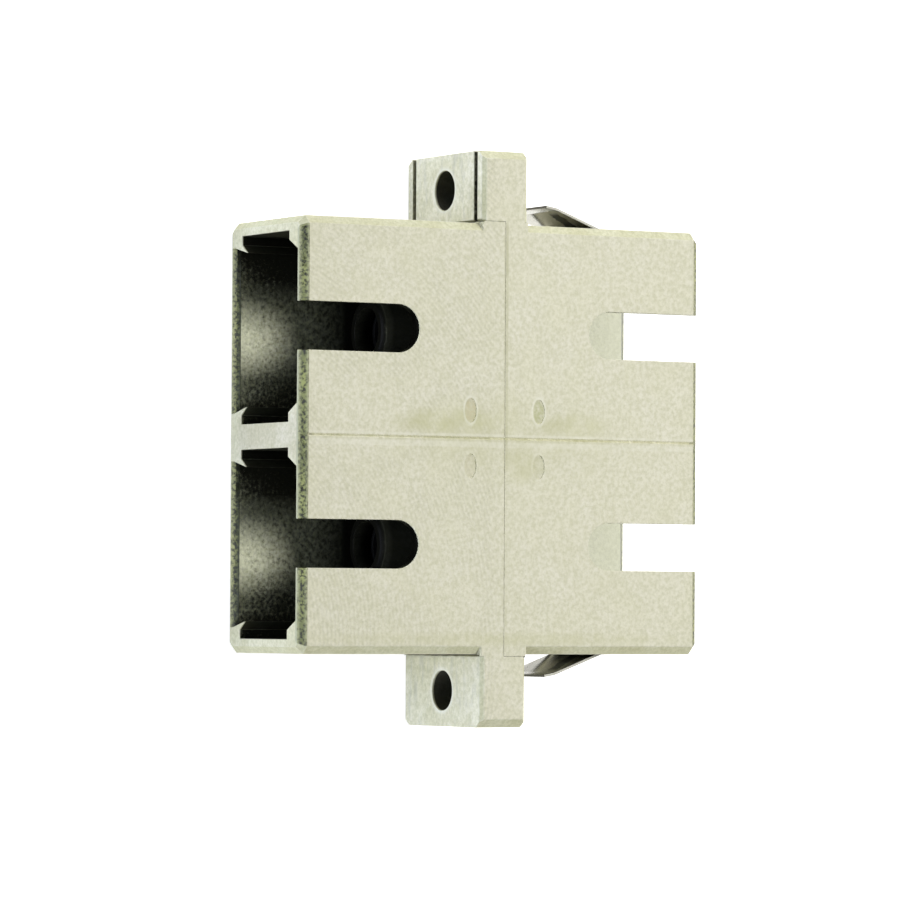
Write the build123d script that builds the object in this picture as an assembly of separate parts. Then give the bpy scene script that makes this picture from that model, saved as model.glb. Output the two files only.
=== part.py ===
from build123d import *
import os

# Duplex SC fibre adapter with two screw ears and a sprung panel clip, in millimetres.
# X runs across the two ports and the ears, Y along the fibres, Z up through the thickness.
# The adapter lies on its plain broad face. The key slots are in its upper broad face.
# The origin is below the middle of the parting plane, on the face that it lies on.

# Body, as both housing halves make it together
BODY_LENGTH = 27.4
BODY_WIDTH = 25.6
BODY_HEIGHT = 9.3
LONG_EDGE_CHAMFER = 0.48
MOUTH_CHAMFER = 0.42
PARTING_CHAMFER = 0.1
MOUTH_LEAD_IN = 0.35

# Ports
PORT_PITCH = 12.7
PORT_AXIS_HEIGHT = 4.76
PLUG_WAY_WIDTH = 9.0
UPPER_WALL = 0.65
LOWER_WALL = 0.88
LATCH_WAY_WIDTH = 11.2
LATCH_WAY_HEIGHT = 5.9
UPPER_RAIL_WIDTH = 10.1
RAIL_TIP_WIDTH = 9.12
RAIL_TIP_RISE = 0.66
RAIL_FOOT_WIDTH = 9.8
KEY_SLOT_WIDTH = 2.86
KEY_SLOT_LENGTH = 7.86

# Ears and the flange band that both halves share
EAR_SPAN = 34.3
EAR_THICKNESS = 3.1
EAR_LEDGE = 0.12
EAR_CORNER_X = 0.5
EAR_CORNER_Z = 0.64
EAR_SIDE_CHAMFER = 0.22
EAR_ROOT_CHAMFER = 0.12
SCREW_SPACING = 30.0
SCREW_HOLE = 2.4
EAR_GROOVE_WIDTH = 0.4
EAR_GROOVE_DEPTH = 0.3
EAR_GROOVE_INSET = 0.95

# Marks left by the mould on the upper face
WITNESS_GROOVE_WIDTH = 0.18
WITNESS_GROOVE_DEPTH = 0.06
EJECTOR_MARK_LENGTH = 1.45
EJECTOR_MARK_WIDTH = 0.8
EJECTOR_MARK_DEPTH = 0.04
EJECTOR_MARK_X = 1.65
EJECTOR_MARK_Y = 2.35

# Latch inserts, two in each port, back to back at the parting plane
PLATE_WIDTH = 11.1
PLATE_HEIGHT = 7.7
PLATE_THICKNESS = 1.45
PLATE_CORNER = 0.4
SEAT_CLEARANCE = 0.1
BARREL_DIAMETER = 4.2
BARREL_REACH = 6.95
BARREL_LIP = 1.1
BARREL_MOUTH = 2.9
BARREL_LEAD_IN = 0.25
HOOK_REACH = 8.4
HOOK_HEIGHT = 4.0
HOOK_INSET = 0.85
HOOK_THICKNESS = 0.9
HOOK_TAPER = 0.15
HOOK_ROOT_RADIUS = 0.35
NOSE_DEPTH = 0.7
NOSE_HEIGHT = 2.6
NOSE_FLAT = 0.35
NOSE_RAMP = 0.9
NOSE_BACK = 0.25

# Split sleeve
SLEEVE_BORE = 2.5
SLEEVE_WALL = 0.35
SLEEVE_LENGTH = 11.4
SLEEVE_SLIT = 0.5
SLEEVE_CLEARANCE = 0.1

# Clip of sprung sheet
SHEET = 0.15
CLIP_FRONT = 2.4
CLIP_WIDTH = 8.0
CLIP_BEND_RADIUS = 0.3
CLIP_FACE_BELOW = 0.05
CLIP_SEAT_CLEARANCE = 0.1
CLIP_ARM_TOP = 8.0
CLIP_LIP_DEPTH = 0.35
CLIP_LIP_INSET = 1.2
TONGUE_GAP = 0.3
TONGUE_BOTTOM = 2.0
TONGUE_TOP = 7.3
TONGUE_ROOT = 8.2
TONGUE_KINK_Y = 4.75
TONGUE_TIP_Y = 4.0
TONGUE_KINK_STAND = 1.25
TONGUE_TIP_STAND = 1.38
TONGUE_BEND_RADIUS = 1.2
BRIDGE_WIDTH = 0.8

HALF_LENGTH = BODY_LENGTH / 2
HALF_WIDTH = BODY_WIDTH / 2
CLIP_BACK = CLIP_FRONT + CLIP_WIDTH
CLIP_SEAT_DEPTH = SHEET + CLIP_FACE_BELOW
SEAT_FLOOR = HALF_WIDTH - CLIP_SEAT_DEPTH
HOOK_OUTER = PLATE_WIDTH / 2 - HOOK_INSET
PORT_CENTRES = {"port_a": -PORT_PITCH / 2, "port_b": PORT_PITCH / 2}


def prism(points, start, end):
    """Face with these X, Z corners, extruded along Y from start to end."""
    outline = Plane.XZ.offset(-start) * make_face(Polyline(*points, close=True))
    return extrude(outline, amount=start - end)


def block(x, y, z):
    """Box between two X, two Y and two Z values."""
    size = (x[1] - x[0], y[1] - y[0], z[1] - z[0])
    middle = (sum(x) / 2, sum(y) / 2, sum(z) / 2)
    return Pos(*middle) * Box(*size)


def rod(diameter, start, end, x=0.0, z=PORT_AXIS_HEIGHT):
    """Cylinder along Y."""
    length = end - start
    return Pos(x, (start + end) / 2, z) * Rot(90, 0, 0) * Cylinder(diameter / 2, length)


def mirrored(shape):
    """The shape and its mirror image across X = 0."""
    return shape + mirror(shape, about=Plane.YZ)


def port_way(centre):
    """Section of the way that a plug takes, with four rails at its corners."""
    low, high = LOWER_WALL, BODY_HEIGHT - UPPER_WALL
    latch_low = (BODY_HEIGHT - LATCH_WAY_HEIGHT) / 2
    latch_high = (BODY_HEIGHT + LATCH_WAY_HEIGHT) / 2
    right = [
        (RAIL_FOOT_WIDTH / 2, low),
        (RAIL_TIP_WIDTH / 2, latch_low + RAIL_TIP_RISE),
        (UPPER_RAIL_WIDTH / 2, latch_low),
        (LATCH_WAY_WIDTH / 2, latch_low),
        (LATCH_WAY_WIDTH / 2, latch_high),
        (UPPER_RAIL_WIDTH / 2, latch_high),
        (PLUG_WAY_WIDTH / 2, high),
    ]
    left = [(-x, z) for x, z in reversed(right)]
    return prism([(centre + x, z) for x, z in right + left], -HALF_LENGTH, 0)


def mouth_lead_in(centre):
    """Lead-in along the lower edge of a mouth, between its rails."""
    mouth, low = -HALF_LENGTH, LOWER_WALL
    corners = [(mouth, low), (mouth, low - MOUTH_LEAD_IN), (mouth + MOUTH_LEAD_IN, low)]
    wedge = extrude(Plane.YZ * make_face(Polyline(*corners, close=True)), amount=RAIL_FOOT_WIDTH)
    return Pos(centre - RAIL_FOOT_WIDTH / 2, 0, 0) * wedge


def plate_seat(centre):
    """Pocket in the parting face for the plate of a latch insert."""
    half_width = PLATE_WIDTH / 2 + SEAT_CLEARANCE
    half_height = PLATE_HEIGHT / 2 + SEAT_CLEARANCE
    return block(
        (centre - half_width, centre + half_width),
        (-PLATE_THICKNESS, 0),
        (PORT_AXIS_HEIGHT - half_height, PORT_AXIS_HEIGHT + half_height),
    )


def key_slot(centre):
    """Slot in the upper wall for the key of a plug, round at its inner end."""
    radius = KEY_SLOT_WIDTH / 2
    end = -HALF_LENGTH + KEY_SLOT_LENGTH - radius
    top = BODY_HEIGHT
    cut = block((centre - radius, centre + radius), (-HALF_LENGTH, end), (PORT_AXIS_HEIGHT, top))
    drop = top - PORT_AXIS_HEIGHT
    return cut + Pos(centre, end, top - drop / 2) * Cylinder(radius, drop)


def body_block():
    """Outside of one half, from its mouth at -Y to the parting plane."""
    body = block((-HALF_WIDTH, HALF_WIDTH), (-HALF_LENGTH, 0), (0, BODY_HEIGHT))
    body = chamfer(body.edges().filter_by(Axis.Y), LONG_EDGE_CHAMFER)
    body = chamfer(body.faces().sort_by(Axis.Y)[0].edges(), MOUTH_CHAMFER)
    return chamfer(body.faces().sort_by(Axis.Y)[-1].edges(), PARTING_CHAMFER)


def ear():
    """Screw ear of one half. It stands across the parting plane."""
    end, half = EAR_SPAN / 2, EAR_THICKNESS / 2
    root = HALF_WIDTH + EAR_LEDGE
    corners = [
        (root, 0),
        (end - EAR_CORNER_X, 0),
        (end, EAR_CORNER_Z),
        (end, BODY_HEIGHT - EAR_CORNER_Z),
        (end - EAR_CORNER_X, BODY_HEIGHT),
        (root, BODY_HEIGHT),
    ]
    shape = prism(corners, -half, half)
    overhung_root = shape.edges().filter_by(Axis.Z).group_by(Axis.X)[0].sort_by(Axis.Y)[-1]
    shape = chamfer(overhung_root, EAR_ROOT_CHAMFER)
    shape = chamfer(shape.edges().filter_by(Axis.X), EAR_SIDE_CHAMFER)
    for z in (EAR_GROOVE_INSET, BODY_HEIGHT - EAR_GROOVE_INSET):
        sides = (z - EAR_GROOVE_WIDTH / 2, z + EAR_GROOVE_WIDTH / 2)
        shape -= block((root, end), (half - EAR_GROOVE_DEPTH, half), sides)
    return shape - rod(SCREW_HOLE, -half, half, SCREW_SPACING / 2, BODY_HEIGHT / 2)


def flange_band():
    """Band under both ears, on this half's side of the parting plane."""
    root = HALF_WIDTH + EAR_LEDGE
    band = block((-root, root), (-EAR_THICKNESS / 2, 0), (0, BODY_HEIGHT))
    far_corner = band.edges().filter_by(Axis.Z).group_by(Axis.X)[0].sort_by(Axis.Y)[0]
    return chamfer(far_corner, EAR_ROOT_CHAMFER)


def clip_seat():
    """Shallow seat for the clip, round three sides of the body."""
    front, back = -CLIP_FRONT + CLIP_SEAT_CLEARANCE, -CLIP_BACK - CLIP_SEAT_CLEARANCE
    top = CLIP_ARM_TOP + CLIP_SEAT_CLEARANCE
    around = block((-HALF_WIDTH, HALF_WIDTH), (back, front), (0, top))
    core = block((-SEAT_FLOOR, SEAT_FLOOR), (back, front), (CLIP_SEAT_DEPTH, BODY_HEIGHT))
    low_edges = core.edges().filter_by(Axis.Y).group_by(Axis.Z)[0]
    core = fillet(low_edges, CLIP_BEND_RADIUS + CLIP_SEAT_CLEARANCE / 2)
    notch = block(
        (SEAT_FLOOR - CLIP_LIP_DEPTH - CLIP_SEAT_CLEARANCE, SEAT_FLOOR),
        (back + CLIP_LIP_INSET, front - CLIP_LIP_INSET),
        (CLIP_ARM_TOP - SHEET - CLIP_SEAT_CLEARANCE, top),
    )
    return around - core + mirrored(notch)


def mould_marks():
    """Witness groove between the ports and two faint ejector marks."""
    half = WITNESS_GROOVE_WIDTH / 2
    low = BODY_HEIGHT - WITNESS_GROOVE_DEPTH
    marks = prism([(-half, BODY_HEIGHT), (0, low), (half, BODY_HEIGHT)], -HALF_LENGTH, 0)
    oval = Ellipse(EJECTOR_MARK_LENGTH / 2, EJECTOR_MARK_WIDTH / 2)
    oval = extrude(oval, amount=EJECTOR_MARK_DEPTH)
    place = Pos(EJECTOR_MARK_X, -EJECTOR_MARK_Y, BODY_HEIGHT - EJECTOR_MARK_DEPTH)
    return marks + mirrored(place * oval)


def housing_half():
    """One moulding, with its mouth at -Y and its ear at +X."""
    half = body_block() + flange_band() + ear()
    for centre in PORT_CENTRES.values():
        half -= port_way(centre)
        half -= mouth_lead_in(centre)
        half -= plate_seat(centre)
        half -= key_slot(centre)
    return half - clip_seat() - mould_marks()


def hook():
    """Latch hook at the +X side of the barrel, with its nose turned inwards."""
    outer = HOOK_OUTER
    inner = HOOK_OUTER - HOOK_THICKNESS
    tip = -HOOK_REACH
    ramp_end = tip + NOSE_RAMP
    arm_points = [
        (outer, -PLATE_THICKNESS),
        (outer - HOOK_TAPER, tip),
        (inner, tip),
        (inner, -PLATE_THICKNESS),
    ]
    nose_points = [
        (inner, tip),
        (inner - NOSE_DEPTH, ramp_end),
        (inner - NOSE_DEPTH, ramp_end + NOSE_FLAT),
        (inner, ramp_end + NOSE_FLAT + NOSE_BACK),
    ]
    low = PORT_AXIS_HEIGHT - HOOK_HEIGHT / 2
    arm = extrude(make_face(Polyline(*arm_points, close=True)), amount=HOOK_HEIGHT)
    nose = extrude(make_face(Polyline(*nose_points, close=True)), amount=NOSE_HEIGHT)
    nose_low = PORT_AXIS_HEIGHT - NOSE_HEIGHT / 2
    return Pos(0, 0, low) * arm + Pos(0, 0, nose_low) * nose


def latch_insert():
    """Latch insert on the port axis: plate, two hooks and half of the sleeve barrel."""
    plate = block(
        (-PLATE_WIDTH / 2, PLATE_WIDTH / 2),
        (-PLATE_THICKNESS, 0),
        (PORT_AXIS_HEIGHT - PLATE_HEIGHT / 2, PORT_AXIS_HEIGHT + PLATE_HEIGHT / 2),
    )
    plate = chamfer(plate.edges().filter_by(Axis.Y), PLATE_CORNER)
    barrel = rod(BARREL_DIAMETER, -BARREL_REACH, -PLATE_THICKNESS)
    barrel = chamfer(barrel.edges().group_by(Axis.Y)[0], BARREL_LEAD_IN)
    insert = plate + barrel + mirrored(hook())
    roots = insert.edges().filter_by(Axis.Z).filter_by_position(
        Axis.Y, -PLATE_THICKNESS - 0.01, -PLATE_THICKNESS + 0.01
    )
    inner = HOOK_OUTER - HOOK_THICKNESS
    inner_roots = [e for e in roots if abs(abs(e.center().X) - inner) < 0.01]
    insert = fillet(inner_roots, HOOK_ROOT_RADIUS)
    bore = SLEEVE_BORE + 2 * SLEEVE_WALL + 2 * SLEEVE_CLEARANCE
    insert -= rod(bore, -BARREL_REACH + BARREL_LIP, 0)
    return insert - rod(BARREL_MOUTH, -BARREL_REACH, 0)


def split_sleeve():
    """Slit tube that lines up two ferrules, centred on the parting plane."""
    half = SLEEVE_LENGTH / 2
    outside = SLEEVE_BORE + 2 * SLEEVE_WALL
    tube = rod(outside, -half, half) - rod(SLEEVE_BORE, -half, half)
    slit = block(
        (-SLEEVE_SLIT / 2, SLEEVE_SLIT / 2),
        (-half, half),
        (PORT_AXIS_HEIGHT, PORT_AXIS_HEIGHT + outside),
    )
    return tube - slit


def tongue():
    """Tongue of the clip at +X, sprung outwards, with its free end towards the flange."""
    flat = SEAT_FLOOR + SHEET / 2
    route = FilletPolyline(
        (flat, CLIP_BACK - TONGUE_GAP),
        (flat, TONGUE_ROOT),
        (HALF_WIDTH + TONGUE_KINK_STAND - SHEET / 2, TONGUE_KINK_Y),
        (HALF_WIDTH + TONGUE_TIP_STAND - SHEET / 2, TONGUE_TIP_Y),
        radius=[TONGUE_BEND_RADIUS, TONGUE_BEND_RADIUS / 2],
    )
    strip = extrude(trace(route, SHEET), amount=TONGUE_TOP - TONGUE_BOTTOM)
    return Pos(0, 0, TONGUE_BOTTOM) * strip


def panel_clip():
    """Clip folded from one strip: a strap below the body and an arm up each side."""
    face = SEAT_FLOOR + SHEET
    sole = CLIP_SEAT_DEPTH - SHEET
    outside = block((-face, face), (CLIP_FRONT, CLIP_BACK), (sole, CLIP_ARM_TOP))
    inside = block((-SEAT_FLOOR, SEAT_FLOOR), (CLIP_FRONT, CLIP_BACK), (CLIP_SEAT_DEPTH, BODY_HEIGHT))
    low = outside.edges().filter_by(Axis.Y).group_by(Axis.Z)[0]
    outside = fillet(low, CLIP_BEND_RADIUS + SHEET)
    low = inside.edges().filter_by(Axis.Y).group_by(Axis.Z)[0]
    inside = fillet(low, CLIP_BEND_RADIUS)
    window = block(
        (SEAT_FLOOR, face),
        (CLIP_FRONT + BRIDGE_WIDTH, TONGUE_ROOT),
        (TONGUE_BOTTOM - TONGUE_GAP, TONGUE_TOP + TONGUE_GAP),
    )
    lip = block(
        (SEAT_FLOOR - CLIP_LIP_DEPTH, face),
        (CLIP_FRONT + CLIP_LIP_INSET, CLIP_BACK - CLIP_LIP_INSET),
        (CLIP_ARM_TOP - SHEET, CLIP_ARM_TOP),
    )
    return outside - inside - mirrored(window) + mirrored(lip) + mirrored(tongue())


def write(shape, node):
    """Write one sub-part to its own file."""
    export_step(shape, f"parts/{node}.step")


def turned(shape):
    """The shape turned half a turn about the Z axis."""
    return Rot(0, 0, 180) * shape


os.makedirs("parts", exist_ok=True)

front = housing_half()
write(front, "front_housing")
write(turned(front), "rear_housing")
insert_front = latch_insert()
insert_rear = turned(insert_front)
for port, centre in PORT_CENTRES.items():
    write(Pos(centre, 0, 0) * insert_front, f"{port}_front_latch")
    write(Pos(centre, 0, 0) * insert_rear, f"{port}_rear_latch")
    write(Pos(centre, 0, 0) * split_sleeve(), f"{port}_split_sleeve")
write(panel_clip(), "panel_clip")
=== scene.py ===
import math

import bmesh
import bpy
from mathutils import Matrix, Vector


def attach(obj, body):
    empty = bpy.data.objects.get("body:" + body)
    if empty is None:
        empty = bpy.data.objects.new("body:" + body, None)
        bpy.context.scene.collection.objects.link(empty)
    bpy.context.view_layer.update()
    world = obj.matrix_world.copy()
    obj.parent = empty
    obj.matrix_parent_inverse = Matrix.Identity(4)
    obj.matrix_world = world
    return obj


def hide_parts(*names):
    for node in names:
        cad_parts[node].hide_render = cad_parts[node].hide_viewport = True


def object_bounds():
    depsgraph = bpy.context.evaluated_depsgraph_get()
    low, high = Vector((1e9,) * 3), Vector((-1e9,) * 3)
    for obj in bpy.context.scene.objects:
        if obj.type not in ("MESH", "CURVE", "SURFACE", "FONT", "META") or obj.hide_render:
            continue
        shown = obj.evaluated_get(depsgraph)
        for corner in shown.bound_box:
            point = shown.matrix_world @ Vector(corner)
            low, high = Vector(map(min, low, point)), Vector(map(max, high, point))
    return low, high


# A beige duplex SC fibre adapter that lies on its plain broad face, on a white table.
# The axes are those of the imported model: X across the ports, Y along the fibres, Z up.

MM = 0.001

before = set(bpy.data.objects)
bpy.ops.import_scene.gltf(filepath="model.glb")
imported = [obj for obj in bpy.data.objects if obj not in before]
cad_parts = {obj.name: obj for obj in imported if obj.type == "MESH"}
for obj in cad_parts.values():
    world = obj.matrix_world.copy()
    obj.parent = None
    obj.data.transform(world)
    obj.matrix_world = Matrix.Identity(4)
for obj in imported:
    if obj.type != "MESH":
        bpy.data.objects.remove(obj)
cad_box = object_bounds()

# Sizes and places of the model in mm, to which the patterns of the materials and the weld beads keep
MOUTH, TOP = cad_box[1][1] / MM, cad_box[1][2] / MM
EAR_ROOT = 12.92
EAR_FACE = 1.55
PORT_PITCH = 12.7
PORT_AXIS_HEIGHT = 4.76
BARREL_RADIUS = 2.1
SCREW_X = 15.0
SCREW_Z = 4.65
SCREW_RADIUS = 1.2
PIN_MARK = (1.65, 2.35)
PIN_MARK_RADII = (0.725, 0.4)
BEAD_HEIGHT = 9.215


# Shared helpers


def linear(code):
    """Linear colour with alpha from an sRGB hex code."""
    parts = [int(code[i : i + 2], 16) / 255 for i in (1, 3, 5)]
    return tuple(c / 12.92 if c <= 0.04045 else ((c + 0.055) / 1.055) ** 2.4 for c in parts) + (1.0,)


def per(millimetres):
    """Texture scale at which one feature of a pattern is about this wide."""
    return 1 / (millimetres * MM)


def add(tree, kind, inputs=None, **settings):
    """A new node with its settings. An input's value is a number, a colour or another node's output."""
    node = tree.nodes.new(kind)
    for name, value in settings.items():
        setattr(node, name, value)
    for name, value in (inputs or {}).items():
        if isinstance(value, bpy.types.NodeSocket):
            tree.links.new(value, node.inputs[name])
        else:
            node.inputs[name].default_value = value
    return node


def new_material(name):
    """A material and its empty node tree."""
    material = bpy.data.materials.new(name)
    material.use_nodes = True
    material.node_tree.nodes.clear()
    return material, material.node_tree


def finished(material, inputs):
    """The material, with a surface that takes these inputs."""
    shader = add(material.node_tree, "ShaderNodeBsdfPrincipled", inputs)
    add(material.node_tree, "ShaderNodeOutputMaterial", {"Surface": shader.outputs["BSDF"]})
    return material


# Patterns


def mask(tree, *parts):
    """Product of its parts, which are numbers, masks or ramps.

    A ramp is a value, where it starts and ends, and what it gives there if that isn't 0 and 1."""
    whole = None
    for part in parts:
        if isinstance(part, tuple):
            value, low, high, *given = part
            start, end = given or (0.0, 1.0)
            ramp = {"Value": value, "From Min": low, "From Max": high, "To Min": start, "To Max": end}
            part = add(tree, "ShaderNodeMapRange", ramp).outputs["Result"]
        if whole is None:
            whole = part
        else:
            whole = add(tree, "ShaderNodeMath", {0: whole, 1: part}, operation="MULTIPLY").outputs[0]
    return whole


def mottle(tree, place, width, low, high, start=0.0, end=1.0, detail=3.0, roughness=0.6, distortion=0.0):
    """Cloudy pattern in patches about this many mm wide, from start in its lows to end in its highs."""
    cloud = {"Vector": place, "Scale": per(width), "Detail": detail, "Roughness": roughness}
    cloud["Distortion"] = distortion
    cloud = add(tree, "ShaderNodeTexNoise", cloud).outputs["Fac"]
    return mask(tree, (cloud, low, high, start, end))


def paint(tree, colour, *layers):
    """Tones laid over a colour. A layer is its cover, its tone and, if it doesn't hide, how it mixes."""
    for cover, tone, *how in layers:
        under, over = (linear(c) if isinstance(c, str) else c for c in (colour, tone))
        layer = {0: cover, 6: under, 7: over}
        kind = how[0] if how else "MIX"
        colour = add(tree, "ShaderNodeMix", layer, data_type="RGBA", blend_type=kind).outputs[2]
    return colour


def reach(tree, *axes):
    """Squared distance from a middle. An axis is a value, its middle and the length that counts as 1."""
    total = 0.0
    for value, middle, unit in axes:
        step = add(tree, "ShaderNodeMath", {0: value, 1: middle}, operation="SUBTRACT").outputs[0]
        step = add(tree, "ShaderNodeMath", {0: step, 1: unit}, operation="DIVIDE").outputs[0]
        total = {0: step, 1: step, 2: total}
        total = add(tree, "ShaderNodeMath", total, operation="MULTIPLY_ADD").outputs[0]
    return total


def measured(tree, spot):
    """A spot's X, Y and Z in mm, and then the same three without their signs."""
    place = {0: spot.outputs["Object"], "Scale": 1 / MM}
    place = add(tree, "ShaderNodeVectorMath", place, operation="SCALE").outputs[0]
    size = add(tree, "ShaderNodeVectorMath", {0: place}, operation="ABSOLUTE").outputs[0]
    return [tuple(add(tree, "ShaderNodeSeparateXYZ", {0: vector}).outputs) for vector in (place, size)]


def facing(tree, spot):
    """How squarely the face at a spot looks along X, Y and Z, from 0 to 1."""
    normal = spot.outputs["Normal"]
    size = add(tree, "ShaderNodeVectorMath", {0: normal}, operation="ABSOLUTE").outputs[0]
    return add(tree, "ShaderNodeSeparateXYZ", {0: size}).outputs


def shade_of(tree, spot):
    """Painted shade: how much of its colour a spot keeps, from 0 in the depth of a port or screw hole to
    1 outside.

    The second result is 1 inside the ports and the third is low inside their barrels."""
    place = spot.outputs["Object"]
    (along_x, along_y, _), (x, y, z) = measured(tree, spot)
    # The slots' rims at the lit end are kept out of the painted shade
    lifted = mask(tree, (along_y, -1, 1, 0.0, 0.6))
    lifted = add(tree, "ShaderNodeMath", {0: z, 1: lifted}, operation="ADD").outputs[0]
    port = mask(
        tree,
        (x, 12.1, 12.14, 1.0, 0.0),
        (y, MOUTH - 0.1, MOUTH - 0.06, 1.0, 0.0),
        (z, 0.7, 0.74),
        (lifted, TOP - 0.08, TOP - 0.04, 1.0, 0.0),
    )
    # Painted shade darkens the depth of a port, most on upright faces, less at the lit end and on the
    # side towards +X
    across = {0: along_x, 1: PORT_PITCH}
    across = add(tree, "ShaderNodeMath", across, operation="FLOORED_MODULO").outputs[0]
    across = add(tree, "ShaderNodeMath", {0: across, 1: PORT_PITCH / 2}, operation="SUBTRACT").outputs[0]
    lit = add(tree, "ShaderNodeAmbientOcclusion", {"Distance": 8 * MM}, samples=8).outputs["AO"]
    for part in (
        mottle(tree, place, 0.22, 0.3, 0.7, -0.15, 0.15),
        mask(tree, (facing(tree, spot)[2], 0.3, 0.8, -0.6, 0.0), (along_y, -2, 2, 1.0, 0.2)),
        mask(tree, (along_y, 8, 12, 0.0, 0.3)),
        mask(tree, (across, -4, 4, -0.1, 0.09), (along_y, -9, -8, 1.0, 0.0)),
    ):
        lit = add(tree, "ShaderNodeMath", {0: lit, 1: part}, operation="ADD").outputs[0]
    lit = {"Value": lit, "From Min": 0.6, "From Max": 0.83}
    lit = add(tree, "ShaderNodeMapRange", lit, interpolation_type="SMOOTHSTEP").outputs["Result"]
    # Inside the barrel and on its front the painted shade is nearly black
    barrel = reach(tree, (across, 0.0, 1.0), (z, PORT_AXIS_HEIGHT, 1.0))
    outside = mask(tree, (barrel, (BARREL_RADIUS - 0.07) ** 2, (BARREL_RADIUS - 0.01) ** 2, 0.25, 1.0))
    lit = mask(tree, lit, outside)
    # Painted light lifts the painted shade in speckles on the floor below the key slots, where light
    # comes through them
    beside = add(tree, "ShaderNodeMath", {0: across}, operation="ABSOLUTE").outputs[0]
    painted_slot_light = mask(
        tree,
        (beside, 1.4, 3.0, 1.0, 0.0),
        (y, 6.2, 8.8, 0.0, 0.42),
        (z, 1.0, 1.2, 1.0, 0.0),
        mottle(tree, place, 0.3, 0.36, 0.64, 0.3, 1.7, detail=2.0),
    )
    lit = add(tree, "ShaderNodeMath", {0: lit, 1: painted_slot_light}, operation="MAXIMUM").outputs[0]
    beyond = add(tree, "ShaderNodeMath", {0: 1.0, 1: port}, operation="SUBTRACT").outputs[0]
    kept = add(tree, "ShaderNodeMath", {0: lit, 1: beyond}, operation="MAXIMUM").outputs[0]
    # Painted shade darkens a screw hole from just behind the ear's face
    around = reach(tree, (x, SCREW_X, 1.0), (z, SCREW_Z, 1.0))
    around = mask(tree, (around, (SCREW_RADIUS + 0.04) ** 2, (SCREW_RADIUS + 0.07) ** 2))
    above = mask(tree, (y, EAR_FACE - 0.15, EAR_FACE - 0.03))
    clear = add(tree, "ShaderNodeMath", {0: around, 1: above}, operation="MAXIMUM").outputs[0]
    kept = add(tree, "ShaderNodeMath", {0: kept, 1: clear}, operation="MINIMUM").outputs[0]
    return kept, port, outside


# Materials


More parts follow.
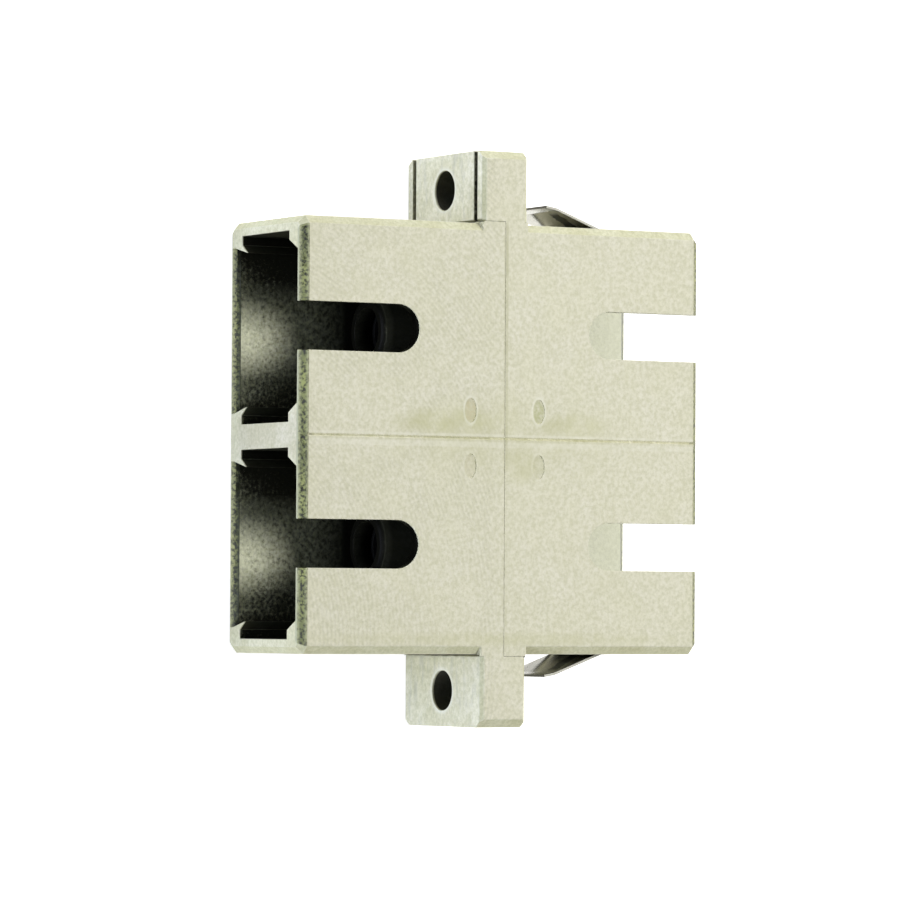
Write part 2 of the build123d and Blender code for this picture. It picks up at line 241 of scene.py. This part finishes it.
def moulded_plastic(
    name, tones, grain, roughness, floor, contrast=(0.84, 1.05), soft=0.16, traces=False, edge_highlight=None
):
    """Injection-moulded PBT with a spark-eroded face: dull, slightly gritty, in swirls of two tones.

    tones are its two mottled colours, grain is the width of its texture in mm, contrast is
    how dark and light its pits and peaks are, soft is how gradual the step between them is,
    and floor is how much colour the painted shade leaves in a port's depth. traces adds the
    mould's marks, and edge_highlight is the tone of a painted highlight along a bevel's edges."""
    material, tree = new_material(name)
    spot = add(tree, "ShaderNodeTexCoord")
    place = spot.outputs["Object"]
    (_, along_y, _), (x, y, z) = measured(tree, spot)
    _, end_on, upward = facing(tree, spot)
    # Slow swirls where the melt met itself
    swirl = mottle(tree, place, 2.4, 0.36, 0.64, detail=4.0, roughness=0.62, distortion=0.6)
    # Pebbles of the eroded face, drawn coarser than the real grit so that they show
    dark, light = contrast
    pebble = mottle(tree, place, grain, 0.49 - soft, 0.49 + soft, detail=2.0, roughness=0.55)
    dark, light = (dark, dark * 1.01, dark * 0.93, 1.0), (light, light, light * 1.03, 1.0)
    pebble = paint(tree, dark, (pebble, light))
    fine = mottle(tree, place, grain * 0.4, 0.3, 0.7, 0.94, 1.05, detail=2.0)
    colour = paint(tree, tones[0], (swirl, tones[1]), (1.0, pebble, "MULTIPLY"), (1.0, fine, "MULTIPLY"))
    if traces:
        colour = mould_traces(tree, spot, colour)
    if edge_highlight:
        # A painted highlight lightens the bevel along its two edges, and painted shade darkens the
        # lead-in of the wall below inwards
        front = mask(tree, (y, MOUTH - 0.16, MOUTH - 0.02))
        rear = mask(tree, (y, MOUTH - 0.4, MOUTH - 0.27, 1.0, 0.0), (z, 4, 5))
        edge = add(tree, "ShaderNodeMath", {0: front, 1: rear}, operation="MAXIMUM").outputs[0]
        edge = mask(tree, edge, (z, 4, 5, 0.6, 0.95), mottle(tree, place, 0.2, 0.35, 0.6, 0.35, 1.0))
        lead_in = mask(tree, (y, MOUTH - 0.34, MOUTH - 0.1, 0.9, 0.0), (z, 4, 5, 1.0, 0.0))
        colour = paint(tree, colour, (edge, edge_highlight), (lead_in, "#34382A"))
    # Painted shade darkens grooves and corners that little light reaches. The upper face's marks are too
    # shallow to get it, and painted light lifts their shaded walls.
    near = add(tree, "ShaderNodeAmbientOcclusion", {"Distance": 0.5 * MM}, samples=6).outputs["AO"]
    shallow_mark = mask(
        tree,
        (z, TOP - 0.2, TOP - 0.1),
        (z, TOP - 0.03, TOP - 0.01, 1.0, 0.0),
        (x, 12.2, 12.22, 1.0, 0.0),
        (y, 13.0, 13.02, 1.0, 0.0),
    )
    near = {0: mask(tree, (near, 0.24, 0.78)), 1: shallow_mark}
    near = add(tree, "ShaderNodeMath", near, operation="MAXIMUM").outputs[0]
    corner = paint(tree, colour, (1.0, "#484A34", "MULTIPLY"))
    shade, port, outside = shade_of(tree, spot)
    colour = paint(
        tree,
        corner,
        (near, colour),
        # Painted light on the shaded walls of the shallow marks
        (mask(tree, shallow_mark, (upward, 0.85, 0.97, 1.0, 0.0)), (1.28, 1.28, 1.28, 1.0), "MULTIPLY"),
        # Inside the ports a greener tint goes with their painted shade, and a paler tone towards the lit
        # end at +Y is painted light
        (port, "#F3F8EC", "MULTIPLY"),
        (mask(tree, port, (along_y, 5, 6, 0.0, 0.3)), "#FFFFEE"),
    )
    # Painted shade in the depth of ports and holes, darkest on the faces that look along them; it also
    # takes away their shine
    inner = {0: mask(tree, (y, 6.15, 6.5, 0.4, 1.0)), 1: mask(tree, (x, 12.8, 12.9, 0.0, 1.5))}
    inner = add(tree, "ShaderNodeMath", inner, operation="MAXIMUM").outputs[0]
    depth = mask(tree, (end_on, 0.3, 0.8, floor, floor * 0.1), inner, outside)
    pits = {"Vector": place, "Scale": per(grain * 0.6), "Detail": 4.0, "Roughness": 0.65}
    pits = add(tree, "ShaderNodeTexNoise", pits).outputs["Fac"]
    bump = add(tree, "ShaderNodeBump", {"Height": pits, "Strength": 0.5, "Distance": 0.02 * MM})
    inputs = {
        "Base Color": paint(tree, "#040403", (mask(tree, (shade, 0.0, 1.0, depth, 1.0)), colour)),
        "Roughness": mask(tree, (swirl, 0.0, 1.0, roughness - 0.05, roughness + 0.05)),
        "Specular IOR Level": mask(tree, (shade, 0.0, 1.0, 0.05, 0.5)),
        "Normal": bump.outputs["Normal"],
    }
    return finished(material, inputs)


def mould_traces(tree, spot, colour):
    """What mould and weld leave outside: cutter arcs, a stain, pin marks and olive lines, and painted
    light and shade on the ears, the rims and along the witness groove.
    """
    place = spot.outputs["Object"]
    (along_x, along_y, _), (x, y, z) = measured(tree, spot)
    top = mask(tree, (z, TOP - 0.06, TOP - 0.04))
    # Fine arcs that the cutter left in the mould, on one half and only in places
    pitch = 0.26
    middle = {0: place, 1: (12 * MM, -24 * MM, 0)}
    middle = add(tree, "ShaderNodeVectorMath", middle, operation="SUBTRACT").outputs[0]
    # The wave pattern has one ring in 0.314 of its unit
    arcs = {"Vector": middle, "Scale": 0.314 * per(pitch), "Distortion": 1.2, "Detail": 1.0}
    arcs = add(tree, "ShaderNodeTexWave", arcs, wave_type="RINGS", rings_direction="Z").outputs["Fac"]
    places = mottle(tree, place, 4.0, 0.36, 0.56, detail=2.0)
    arcs = mask(tree, arcs, places, (along_y, -1, 0, 0.15, 0.0), top)
    colour = paint(tree, colour, (arcs, "#8A8A70"))
    # A faint olive stain round the cross of witness groove and parting line, and along the edge at +X
    cloud = mottle(tree, place, 1.3, 0.36, 0.62, 0.3, 1.0, detail=4.0, roughness=0.65)
    patches = (
        # Middle, half lengths and strength
        (0.0, 0.0, 3.0, 9.0, 0.35),
        (-0.95, -3.9, 1.0, 4.2, 0.75),
        (-0.85, 4.9, 0.8, 2.8, 0.55),
        (1.4, 1.0, 1.6, 1.2, 0.5),
        (11.9, 0.0, 0.5, 15.0, 0.45),
    )
    for middle_x, middle_y, half_x, half_y, strength in patches:
        patch = reach(tree, (along_x, middle_x, half_x), (along_y, middle_y, half_y))
        patch = mask(tree, (patch, 0.1, 1.0, strength, 0.0), cloud, top)
        colour = paint(tree, colour, (patch, "#B8B784"))
    # The ears' flat faces are painted lighter and cooler, painted light, less so at +X; they are
    # streaked, with a pale ring at the hole that is a painted highlight
    ear = mask(tree, (x, EAR_ROOT + 0.01, EAR_ROOT + 0.05), (y, EAR_FACE - 0.05, EAR_FACE - 0.01))
    streak = {"Vector": place, "Scale": (0.25, 1.0, 1.0)}
    streak = add(tree, "ShaderNodeMapping", streak).outputs["Vector"]
    hole = reach(tree, (x, SCREW_X, 1.0), (z, SCREW_Z, 1.0))
    hole = add(tree, "ShaderNodeMath", {0: hole}, operation="SQRT").outputs[0]
    # Their two grooves are painted dark inside, painted shade broken up by grit
    grit = mottle(tree, place, 0.25, 0.35, 0.55, 0.35, 0.9)
    groove = mask(tree, (hole, SCREW_RADIUS + 0.12, SCREW_RADIUS + 0.16), grit, (z, 3, 6, 0.6, 1.0))
    for value, low, high in ((x, 12.98, 17.08), (y, 1.2, 1.5), (z, 0.1, 9.2)):
        groove = mask(tree, groove, (value, low, low + 0.02), (value, high, high + 0.02, 1.0, 0.0))
    # Painted shade makes the rim between the mouths a little darker and cooler, and the thin rim over a
    # mouth is olive at its bevel
    rim = mask(tree, (y, MOUTH - 0.06, MOUTH - 0.03))
    colour = paint(
        tree,
        colour,
        (mask(tree, ear, (along_x, -1, 1, 1.0, 0.5)), (1.2, 1.2, 1.31, 1.0), "MULTIPLY"),
        (mask(tree, ear, mottle(tree, streak, 0.5, 0.5, 0.75, 0.0, 0.5)), "#B4B5AA"),
        (groove, "#2C2E20"),
        (mask(tree, ear, (hole, SCREW_RADIUS + 0.1, SCREW_RADIUS + 0.3, 0.6, 0.0)), "#F2F2E8"),
        (mask(tree, rim, (x, 0.9, 2.0, 1.0, 0.0), (z, 0.8, 1.8)), "#F7F5FB", "MULTIPLY"),
        (mask(tree, rim, (z, 8.62, 8.68, 0.0, 0.7), (x, 12.0, 12.2, 1.0, 0.0)), "#A4A889"),
        (mask(tree, top, (y, 13.0, 13.3, 0.0, 0.22)), "#BEBE98"),
    )
    # Pale bands either side of the witness groove and an olive one in it are a painted highlight and
    # painted shade, and the weld left an olive line, faint at +X
    fade = mottle(tree, place, 3.0, 0.35, 0.65, 0.5, 1.0, detail=2.0)
    lines = (
        (along_x, -0.24, -0.08, "#ECEAD8", top, 0.35),
        (along_x, -0.06, 0.2, "#AEAC80", top, 0.22),
        (along_x, 0.22, 0.55, "#ECEAD8", top, 0.3),
        (along_y, -0.08, 0.2, "#A9A87C", (x, 12.86, 12.9, 1.0, 0.0), (along_x, 0, 2, 0.7, 0.2)),
    )
    soft = 0.04
    for value, start, end, tone, *cover in lines:
        start, end = (value, start - soft, start + soft), (value, end - soft, end + soft, 1.0, 0.0)
        colour = paint(tree, colour, (mask(tree, start, end, fade, *cover), tone))
    # Ejector pins leave four ovals in a bright rim, clearest beside the port at -X
    oval = reach(tree, *zip((x, y), PIN_MARK, PIN_MARK_RADII))
    clear = mask(tree, top, (along_x, -1, 1, 1.0, 0.3))
    bright = mask(tree, (oval, 0.9, 1.1), (oval, 1.3, 1.9, 1.0, 0.0), clear, 0.4)
    speckle = mottle(tree, place, 0.2, 0.38, 0.6, 0.25, 0.95, detail=2.0)
    pin = mask(tree, (oval, 0.6, 1.1, 1.0, 0.0), speckle, clear)
    tan = paint(tree, "#C4BD93", (mask(tree, (along_y, -1, 1)), "#B6B886"))
    return paint(tree, colour, (bright, "#EFEEDC"), (pin, tan))


def rolled_stainless():
    """Sprung stainless sheet, bright rolled: long faint draw lines and a soft mirror."""
    material, tree = new_material("bright_rolled_stainless_sheet")
    spot = add(tree, "ShaderNodeTexCoord")
    place = spot.outputs["Object"]
    (along_x, _, _), (x, y, z) = measured(tree, spot)
    drawn = {"Vector": place, "Scale": (1.0, 1.0, 30.0)}
    drawn = add(tree, "ShaderNodeMapping", drawn).outputs["Vector"]
    drawn = {"Vector": drawn, "Scale": per(1.5), "Detail": 3.0, "Roughness": 0.6}
    drawn = add(tree, "ShaderNodeTexNoise", drawn).outputs["Fac"]
    bump = add(tree, "ShaderNodeBump", {"Height": drawn, "Strength": 0.3, "Distance": 0.006 * MM})
    # A painted dark reflection: a band slanted across the side of each tongue that faces the body
    turned = add(tree, "ShaderNodeSeparateXYZ", {0: spot.outputs["Normal"]}).outputs[0]
    inward = add(tree, "ShaderNodeMath", {0: turned, 1: along_x}, operation="MULTIPLY").outputs[0]
    inward = add(tree, "ShaderNodeMath", {0: inward, 1: 0.0}, operation="LESS_THAN").outputs[0]
    away = add(tree, "ShaderNodeMath", {0: y, 1: 0.49, 2: z}, operation="MULTIPLY_ADD").outputs[0]
    away = add(tree, "ShaderNodeMath", {0: away, 1: 8.85}, operation="SUBTRACT").outputs[0]
    away = add(tree, "ShaderNodeMath", {0: away}, operation="ABSOLUTE").outputs[0]
    ragged = mottle(tree, place, 0.5, 0.3, 0.7, -0.15, 0.15)
    away = add(tree, "ShaderNodeMath", {0: away, 1: ragged}, operation="ADD").outputs[0]
    dark_reflection = mask(tree, (away, 0.42, 0.55, 1.0, 0.0), (x, 12.86, 12.9), (y, 4.9, 5.3), inward)
    drawn = mask(tree, (drawn, 0.3, 0.7))
    inputs = {
        "Base Color": paint(tree, "#D2D1CC", (drawn, "#E8E7E3"), (dark_reflection, "#0C0C0A")),
        "Metallic": 1.0,
        "Roughness": mottle(tree, place, 1.2, 0.3, 0.7, 0.08, 0.16),
        "Normal": bump.outputs["Normal"],
    }
    return finished(material, inputs)


def sheared_stainless():
    """Cut edge of the same sheet: torn grey steel that stays darker than its faces."""
    material, tree = new_material("sheared_stainless_edge")
    place = add(tree, "ShaderNodeTexCoord").outputs["Object"]
    tear = {"Vector": place, "Scale": per(0.08), "Detail": 3.0, "Roughness": 0.6}
    tear = add(tree, "ShaderNodeTexNoise", tear).outputs["Fac"]
    bump = add(tree, "ShaderNodeBump", {"Height": tear, "Strength": 0.5, "Distance": 0.02 * MM})
    inputs = {
        "Base Color": paint(tree, "#55554E", (mask(tree, (tear, 0.35, 0.65)), "#7C7B74")),
        "Metallic": 1.0,
        "Roughness": mask(tree, (tear, 0.3, 0.7, 0.35, 0.6)),
        "Normal": bump.outputs["Normal"],
    }
    return finished(material, inputs)


def zirconia():
    """Ground zirconia ceramic: dense, faintly warm white with a satin shine."""
    material, tree = new_material("ground_zirconia_ceramic")
    spot = add(tree, "ShaderNodeTexCoord")
    rings = {"Vector": spot.outputs["Object"], "Scale": (1.0, 20.0, 1.0)}
    rings = add(tree, "ShaderNodeMapping", rings).outputs["Vector"]
    rings = {"Vector": rings, "Scale": per(1.0), "Detail": 2.0, "Roughness": 0.6}
    rings = add(tree, "ShaderNodeTexNoise", rings).outputs["Fac"]
    shade = shade_of(tree, spot)[0]
    white = paint(tree, "#EDEAE2", (rings, "#F6F4EF"))
    # Painted shade darkens it and takes away its shine in the depth of the ports
    inputs = {
        "Base Color": paint(tree, "#040404", (mask(tree, (shade, 0.0, 1.0, 0.005, 1.0)), white)),
        "Roughness": mask(tree, (rings, 0.0, 1.0, 0.18, 0.32)),
        "Specular IOR Level": mask(tree, (shade, 0.0, 1.0, 0.02, 0.8)),
    }
    return finished(material, inputs)


# The mouldings' faces are pebbled and dull, from a spark-eroded mould
beige = ("#D1CEAF", "#E1DEC5")
housing_plastic = moulded_plastic("moulded_beige_pbt", beige, 0.24, 0.5, 0.04, traces=True)
# Chamfers are a shade deeper and more olive: painted shade, as they catch less light
chamfer_plastic = moulded_plastic("moulded_beige_pbt_chamfer", ("#C6C4A0", "#D2D1B3"), 0.2, 0.55, 0.06)
# The mouths' bevels are the coarsest, full of dark blobs; their dark olive is partly painted shade, and
# their pale edges are a painted highlight
olive, pale = ("#5C5E3A", "#8E8F5B"), "#ADAD87"
mouth_plastic = moulded_plastic("coarse_eroded_pbt", olive, 0.2, 0.6, 0.3, (0.1, 1.6), 0.08, edge_highlight=pale)
# Broken corners are a little greyer than the faces and carry no marks; they keep more colour in the
# ports' painted shade, a painted highlight along them
edge_plastic = moulded_plastic("beige_pbt_broken_edge", ("#D2CFB4", "#DFDDC6"), 0.24, 0.5, 0.2)
# Plastic that the weld melted and squeezed out is darker and glossier
flash_plastic = moulded_plastic("squeezed_weld_pbt", ("#8C8B60", "#AFAD84"), 0.3, 0.4, 0.3)
# Where less heat reached it, it stayed nearly as pale as the faces
faint_plastic = moulded_plastic("faint_weld_pbt", ("#D8D6BA", "#E6E4CC"), 0.3, 0.4, 0.3)
# Beside the ears it is a dark ragged olive: painted shade of the crevices at the ears' roots
weld_shade_plastic = moulded_plastic("dark_weld_pbt_painted_shade", ("#3E3E28", "#85835A"), 0.3, 0.4, 0.3)
# The inserts have no pigment: warmer and smoother, and painted shade darkens them in the depth of the
# ports
latch_plastic = moulded_plastic("moulded_natural_pbt", ("#D3CDB0", "#DCD6BE"), 0.3, 0.42, 0.11)
sheet_steel = rolled_stainless()
cut_steel = sheared_stainless()
sleeve_ceramic = zirconia()


# Pieces

# Numbers of the housing's materials, and where along Y, in mm, the mouths' bevels and lead-ins begin
PLAIN_FACE, CHAMFER, MOUTH_BEVEL, BROKEN_EDGE = range(4)
BEHIND_MOUTH = 13.2


def sheet_part(face):
    """1 for a sheared edge: a long narrow face between two sharp corners. 0 for the rolled face."""
    around = sum(edge.calc_length() for edge in face.edges)
    sharp = sum(e.calc_length() for e in face.edges if e.calc_face_angle(0) > math.radians(60))
    return int(sharp > 0.6 * around and face.calc_area() < 0.1 * MM * around)


def moulding_part(face):
    """Number of the material of a housing's face, by which way it looks and where it is."""
    turned = max(abs(c) for c in face.normal) < 0.95
    smooth = any(e.calc_face_angle(0) < math.radians(20) for e in face.edges)
    groove = any(all(abs(vert.co[axis]) < 0.12 * MM for vert in face.verts) for axis in (0, 1))
    if not turned or smooth or groove:
        return PLAIN_FACE
    at_mouth = abs(face.calc_center_median().y) > BEHIND_MOUTH * MM and abs(face.normal.x) < 0.3
    return MOUTH_BEVEL if at_mouth else CHAMFER


def edge_at(centre):
    """Number of the material of a housing's broken corner. A mouth's bevel and lead-in keep theirs."""
    x, y, z = (abs(c) / MM for c in centre)
    at_mouth = y > BEHIND_MOUTH and x < 12.3 and (z > 8.84 or z < 0.92)
    return MOUTH_BEVEL if at_mouth else BROKEN_EDGE


def shallow(edge):
    """Whether a face beside an edge is too shallow for the edge to be broken."""
    start, along = edge.verts[0].co, (edge.verts[1].co - edge.verts[0].co).normalized()
    for face in edge.link_faces:
        if max((vert.co - start).cross(along).length for vert in face.verts) < 0.16 * MM:
            return True
    return False


def broken_edges(node, name, materials, radius, part_of=None, edge_material=-1, edge_part=None):
    """A copy of a CAD node with its corners broken, which stands for the node.

    part_of gives the number of a face's material. edge_material is that of the broken corners,
    and edge_part gives it by the place of each, where they differ."""
    shape = bmesh.new()
    shape.from_mesh(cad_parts[node].data)
    bmesh.ops.remove_doubles(shape, verts=shape.verts, dist=0.0005 * MM)
    bmesh.ops.dissolve_limit(shape, angle_limit=math.radians(0.5), verts=shape.verts, edges=shape.edges)
    weight = shape.edges.layers.float.new("bevel_weight_edge")
    for edge in shape.edges:
        if len(edge.link_faces) == 2 and edge.calc_face_angle() > math.radians(30):
            if edge.calc_length() > 0.06 * MM and not shallow(edge):
                edge[weight] = 1.0
    for face in shape.faces:
        face.material_index = part_of(face) if part_of else 0
    mesh = bpy.data.meshes.new(name)
    shape.to_mesh(mesh)
    shape.free()
    for material in materials:
        mesh.materials.append(material)
    piece = bpy.data.objects.new(name, mesh)
    bpy.context.scene.collection.objects.link(piece)
    bevel = piece.modifiers.new("broken_edges", "BEVEL")
    bevel.limit_method = "WEIGHT"
    bevel.width = radius
    bevel.segments = 2
    bevel.use_clamp_overlap = False
    bevel.harden_normals = True
    bevel.material = edge_material
    settle(piece)
    if edge_part:
        for face in piece.data.polygons:
            if face.material_index == edge_material:
                face.material_index = edge_part(face.center)
    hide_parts(node)
    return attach(piece, "root")


def settle(piece):
    """Turns what a piece's modifiers give into its plain mesh."""
    ready = piece.evaluated_get(bpy.context.evaluated_depsgraph_get())
    finished_mesh = bpy.data.meshes.new_from_object(ready)
    piece.modifiers.clear()
    piece.data = finished_mesh


mould = [housing_plastic, chamfer_plastic, mouth_plastic, edge_plastic]
for node, name in (("front_housing", "front_moulding"), ("rear_housing", "rear_moulding")):
    moulding = broken_edges(node, name, mould, 0.035 * MM, moulding_part, BROKEN_EDGE, edge_at)
for port in ("port_a", "port_b"):
    for side in ("front", "rear"):
        node, name = f"{port}_{side}_latch", f"{port}_{side}_insert"
        broken_edges(node, name, [latch_plastic], 0.04 * MM)
    tube = broken_edges(f"{port}_split_sleeve", f"{port}_slit_tube", [sleeve_ceramic], 0.03 * MM)
clip = broken_edges("panel_clip", "folded_clip", [sheet_steel, cut_steel], 0.015 * MM, sheet_part)


def squeezed_weld():
    """Node tree that lays a bead of squeezed plastic along a line, thick and thin by turns.

    Its inputs are the line's mesh, the bead's radius, the step along it, a seed and the material."""
    tree = bpy.data.node_groups.new("squeezed_weld", "GeometryNodeTree")
    asked = {"Geometry": "Geometry", "Radius": "Float", "Step": "Float", "Seed": "Float"}
    asked["Material"] = "Material"
    for name, kind in asked.items():
        tree.interface.new_socket(name, in_out="INPUT", socket_type=f"NodeSocket{kind}")
    tree.interface.new_socket("Geometry", in_out="OUTPUT", socket_type="NodeSocketGeometry")
    given = add(tree, "NodeGroupInput").outputs
    line = add(tree, "GeometryNodeMeshToCurve", {"Mesh": given["Geometry"]}).outputs[0]
    line = {"Curve": line, "Length": given["Step"]}
    line = add(tree, "GeometryNodeResampleCurve", line, mode="LENGTH").outputs[0]
    ripple = {"W": given["Seed"], "Scale": per(0.7), "Detail": 3.0}
    ripple = add(tree, "ShaderNodeTexNoise", ripple, noise_dimensions="4D").outputs["Fac"]
    thick = mask(tree, (ripple, 0.3, 0.7, 0.35, 1.25), given["Radius"])
    line = add(tree, "GeometryNodeSetCurveRadius", {"Curve": line, "Radius": thick}).outputs[0]
    ring = {"Resolution": 8, "Radius": 1.0}
    ring = add(tree, "GeometryNodeCurvePrimitiveCircle", ring, mode="RADIUS").outputs[0]
    pipe = {"Curve": line, "Profile Curve": ring, "Fill Caps": True, "Scale": thick}
    pipe = add(tree, "GeometryNodeCurveToMesh", pipe).outputs[0]
    whole = add(tree, "GeometryNodeRealizeInstances", {"Geometry": pipe}).outputs[0]
    dressed = {"Geometry": whole, "Material": given["Material"]}
    dressed = add(tree, "GeometryNodeSetMaterial", dressed).outputs[0]
    add(tree, "NodeGroupOutput", {"Geometry": dressed})
    return tree


def bead(name, corners, radius, seed, material):
    """A bead along a line of corners in mm, made a plain mesh that rides on the body."""
    mesh = bpy.data.meshes.new(name)
    links = [(i, i + 1) for i in range(len(corners) - 1)]
    mesh.from_pydata([Vector(corner) * MM for corner in corners], links, [])
    piece = bpy.data.objects.new(name, mesh)
    bpy.context.scene.collection.objects.link(piece)
    nodes = piece.modifiers.new("squeezed_weld", "NODES")
    nodes.node_group = weld_tree
    values = {"Radius": radius * MM, "Step": 0.2 * MM, "Seed": seed, "Material": material}
    for socket in weld_tree.interface.items_tree:
        if socket.in_out == "INPUT" and socket.name in values:
            nodes[socket.identifier] = values[socket.name]
    settle(piece)
    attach(piece, "root")


# The weld squeezed a bead out of the joint. It crosses the upper face, paler past the witness groove,
# and turns along the ears' roots, dark there with painted shade of the crevices. A dark ragged bead at
# the root of the ear at +X is partly flash and partly painted shade of the crevice there.
weld_tree = squeezed_weld()
paler_from = (0.6, 0, BEAD_HEIGHT)
upper_root, lower_root = (-EAR_ROOT, 0, BEAD_HEIGHT), (EAR_ROOT, 0, BEAD_HEIGHT)
upper_end, lower_end = (-EAR_ROOT, -1.5, BEAD_HEIGHT), (EAR_ROOT, 1.5, BEAD_HEIGHT)
bead("weld_bead", [upper_root, paler_from], 0.068, 3.0, flash_plastic)
bead("faint_weld_bead", [paler_from, lower_root], 0.06, 4.0, faint_plastic)
bead("weld_bead_and_shade_at_upper_ear", [upper_end, upper_root], 0.07, 5.0, weld_shade_plastic)
bead("weld_bead_and_shade_at_lower_ear", [lower_root, lower_end], 0.06, 8.0, weld_shade_plastic)
bead("ear_root_flash_and_shade", [(12.88, -1.56, 0.5), (12.88, -1.56, 9.1)], 0.06, 2.0, weld_shade_plastic)


# Table, light and camera


def white_table():
    """Seamless white table. Camera and reflections see it lit through, and the object's shadow stays."""
    material, tree = new_material("seamless_white_table")
    ray = add(tree, "ShaderNodeLightPath")
    through = 0.0
    glows = {"Is Camera Ray": 0.84, "Is Glossy Ray": 0.4, "Is Transmission Ray": 0.4}
    for seen_by, brightness in glows.items():
        seen = {0: ray.outputs[seen_by], 1: brightness}
        seen = add(tree, "ShaderNodeMath", seen, operation="MULTIPLY").outputs[0]
        through = add(tree, "ShaderNodeMath", {0: seen, 1: through}, operation="MAXIMUM").outputs[0]
    glow = add(tree, "ShaderNodeEmission", {"Color": (1, 1, 1, 1), "Strength": through}).outputs[0]
    card = add(tree, "ShaderNodeBsdfDiffuse", {"Color": linear("#F2F2F0")}).outputs[0]
    both = add(tree, "ShaderNodeAddShader", {0: glow, 1: card}).outputs[0]
    add(tree, "ShaderNodeOutputMaterial", {"Surface": both})
    mesh = bpy.data.meshes.new("table")
    half = 1.5
    corners = [(-half, -half, 0), (half, -half, 0), (half, half, 0), (-half, half, 0)]
    mesh.from_pydata(corners, [], [(0, 1, 2, 3)])
    mesh.materials.append(material)
    table = bpy.data.objects.new("table", mesh)
    bpy.context.scene.collection.objects.link(table)


def white_room(ambient):
    """World that looks white and lights the object at a low, even level."""
    world = bpy.data.worlds.new("white_room")
    bpy.context.scene.world = world
    world.use_nodes = True
    tree = world.node_tree
    tree.nodes.clear()
    ray = add(tree, "ShaderNodeLightPath")
    strength = ambient
    for seen_by in ("Is Camera Ray", "Is Glossy Ray", "Is Transmission Ray"):
        seen = {0: ray.outputs[seen_by], 1: strength}
        strength = add(tree, "ShaderNodeMath", seen, operation="MAXIMUM").outputs[0]
    back = add(tree, "ShaderNodeBackground", {"Color": (1, 1, 1, 1), "Strength": strength}).outputs[0]
    add(tree, "ShaderNodeOutputWorld", {"Surface": back})


def softbox(name, direction, distance, size, brightness, tone="#FFFFFF"):
    """Area lamp that faces the object. brightness is what a white card facing it would show."""
    lamp = bpy.data.lights.new(name, "AREA")
    lamp.shape = "RECTANGLE"
    lamp.size, lamp.size_y = size
    lamp.energy = math.pi**2 * distance**2 * brightness
    lamp.color = linear(tone)[:3]
    place = bpy.data.objects.new(name, lamp)
    aim = Vector(direction).normalized()
    turned = aim.to_track_quat("Z", "Y").to_matrix().to_4x4()
    place.matrix_world = Matrix.Translation(aim * distance) @ turned
    place.visible_camera = False
    bpy.context.scene.collection.objects.link(place)


white_table()
white_room(0.06)
softbox("key", (-0.07, 0.47, 0.88), 0.40, (0.09, 0.09), 0.68)
softbox("near_fill", (0.05, -1.0, 0.1), 0.35, (0.35, 0.06), 0.78, "#DDE9FF")
softbox("far_fill", (0.1, 1.0, 0.14), 0.35, (0.35, 0.06), 0.3)
softbox("left_fill", (-1.0, 0.0, 0.22), 0.18, (0.2, 0.04), 0.6)
softbox("right_fill", (1.0, -0.6, 0.12), 0.35, (0.35, 0.06), 0.3)

# Camera found by least squares from about 70 measured points of the photograph
eye = Vector((10.278, -159.664, 280.422)) * MM
right = Vector((-0.005618, 0.866785, 0.498651))
up = Vector((-0.999520, -0.020065, 0.023616))
back = right.cross(up)
camera = bpy.data.cameras.new("camera")
camera.sensor_width = 36.0
camera.lens = 211.968
camera.clip_start = 0.01
camera.clip_end = 10.0
camera = bpy.data.objects.new("camera", camera)
turn = Matrix((right, up, back)).transposed()
camera.matrix_world = Matrix.Translation(eye) @ turn.to_4x4()
bpy.context.scene.collection.objects.link(camera)
bpy.context.scene.camera = camera
bpy.context.scene.view_settings.view_transform = "Standard"
